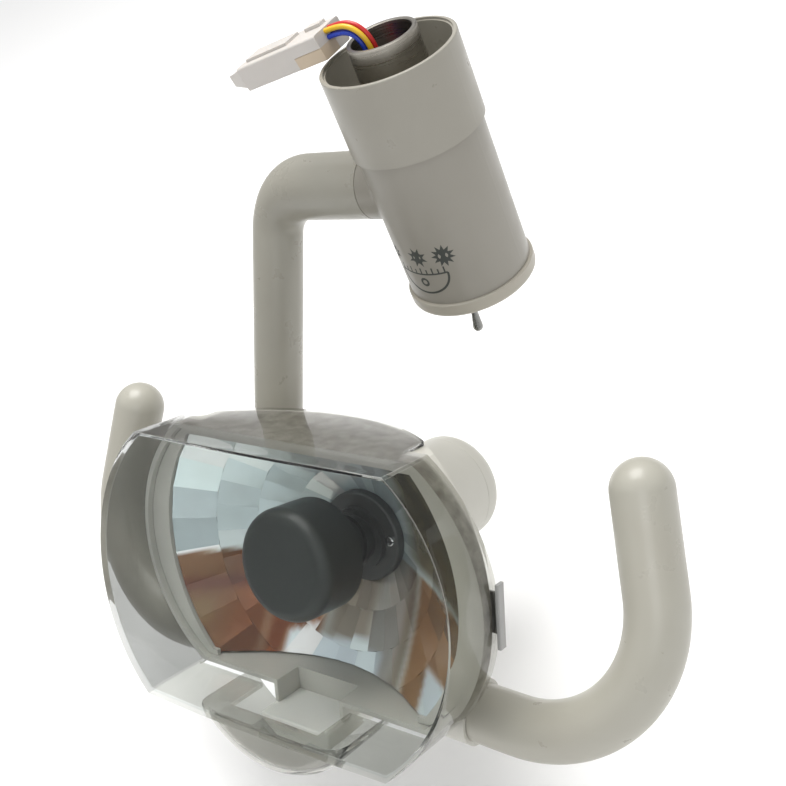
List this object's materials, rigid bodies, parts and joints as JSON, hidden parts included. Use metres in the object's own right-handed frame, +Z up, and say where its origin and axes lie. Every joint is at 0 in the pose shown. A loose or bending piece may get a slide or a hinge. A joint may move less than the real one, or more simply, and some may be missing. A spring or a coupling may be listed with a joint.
{
  "type": "dental operating light",
  "caption": "Halogen dental operating light: faceted mirror head with clear shield and side handles on a jointed arm below a swivelling housing with a toggle switch.",
  "frame": {"origin": "centre of the steel tube's top mouth, on the swivel axis", "axes": "+Z up along the swivel axis, +X to the right seen from the front, -Y towards the patient"},
  "size_m": [0.3367, 0.2276, 0.2757],
  "materials": {
    "housing_paint": "semi-gloss ivory powder coat",
    "collar_paint": "semi-gloss ivory powder coat",
    "cap_plastic": "semi-gloss moulded ABS",
    "arm_paint": "semi-gloss ivory powder coat",
    "white_plastic": "satin moulded ABS",
    "handle_plastic": "satin moulded ABS",
    "ground_steel": "turned, slightly oily",
    "spring_steel": "satin",
    "zinc_steel": "zinc plated",
    "chrome": "bright",
    "bronze": "sintered, oiled",
    "acetal": "natural acetal",
    "mirror_coating": "vacuum-coated faceted mirror",
    "clear_polycarbonate": "clear moulded polycarbonate",
    "black_heatproof": "matt black heat-proof plastic",
    "dark_grey_metal": "dark grey anodised",
    "steatite": "unglazed steatite",
    "quartz": "clear quartz",
    "rubber": "matt",
    "cable_sheath": "PVC sheath",
    "lead_sheath": "silicone sleeving",
    "circuit_board": "solder-masked glass epoxy",
    "switch_plastic": "moulded phenolic",
    "terminal_plastic": "unglazed steatite",
    "wire_red": "PVC insulation",
    "wire_yellow": "PVC insulation",
    "wire_blue": "PVC insulation",
    "wire_dark_blue": "PVC insulation",
    "connector_beige": "moulded nylon",
    "connector_white": "moulded natural nylon"
  },
  "bodies": {
    "socket": {"steel_tube": "ground_steel", "swivel_stop_pin": "spring_steel", "swivel_washer": "zinc_steel", "swivel_circlip": "spring_steel", "cable_grommet": "rubber", "lead_red": "wire_red", "lead_yellow": "wire_yellow", "lead_blue": "wire_blue", "lead_dark_blue": "wire_dark_blue", "connector_plug": "connector_beige", "connector_housing": "connector_white", "connector_boot": "connector_white"},
    "housing": {"joint_housing": "housing_paint", "swivel_bush": "acetal", "joint_collar": "collar_paint", "bottom_cap": "cap_plastic", "cap_screws": "zinc_steel", "dimmer_board": "circuit_board", "switch_body": "switch_plastic", "switch_nut": "chrome", "tilt_bush": "bronze"},
    "toggle": {"toggle_lever": "chrome"},
    "arm": {"arm_tube": "arm_paint", "arm_cable": "cable_sheath", "tilt_shaft": "ground_steel", "tilt_washers": "acetal", "tilt_spring_washer": "spring_steel", "tilt_nut": "zinc_steel", "tilt_stop_pin": "spring_steel", "nod_shaft": "ground_steel", "nod_washers": "acetal", "nod_spring_washer": "spring_steel", "nod_nut": "zinc_steel"},
    "head": {"nod_bush": "bronze", "rear_hub": "white_plastic", "hub_cap": "white_plastic", "terminal_block": "terminal_plastic", "lamp_leads": "lead_sheath", "rear_housing": "white_plastic", "shield_rest": "white_plastic", "rest_screws": "zinc_steel", "reflector": "mirror_coating", "reflector_bezel": "white_plastic", "lamp_base": "dark_grey_metal", "lamp_base_screws": "chrome", "lamp_stem": "black_heatproof", "glare_cap": "black_heatproof", "lamp_socket": "steatite", "halogen_bulb": "quartz", "clip_left": "spring_steel", "clip_right": "spring_steel", "handle_left": "handle_plastic", "handle_right": "handle_plastic", "handle_end_left": "handle_plastic", "handle_end_right": "handle_plastic", "handle_screws": "zinc_steel"},
    "shield": {"clear_shield": "clear_polycarbonate"}
  },
  "joints": [
    {"name": "swivel", "type": "hinge", "parent": "socket", "child": "housing", "pos_m": [0, 0, -0.0405], "axis": [0, 0, 1], "range_deg": [-155, 155]},
    {"name": "tilt", "type": "hinge", "parent": "housing", "child": "arm", "pos_m": [0, 0, -0.069], "axis": [1, 0, 0], "range_deg": [-35, 85]},
    {"name": "nod", "type": "hinge", "parent": "arm", "child": "head", "pos_m": [-0.04485, -0.07377, -0.21379], "axis": [0.9997, -0.0119, -0.0233], "range_deg": [-20, 45]},
    {"name": "toggle_switch", "type": "hinge", "parent": "housing", "child": "toggle", "pos_m": [0.007, -0.016, -0.1209], "axis": [1, 0, 0], "range_deg": [0, 20]},
    {"name": "shield_slide", "type": "slide", "parent": "head", "child": "shield", "axis": [0, -0.891, 0.454], "range_m": [0, 0.06]}
  ]
}
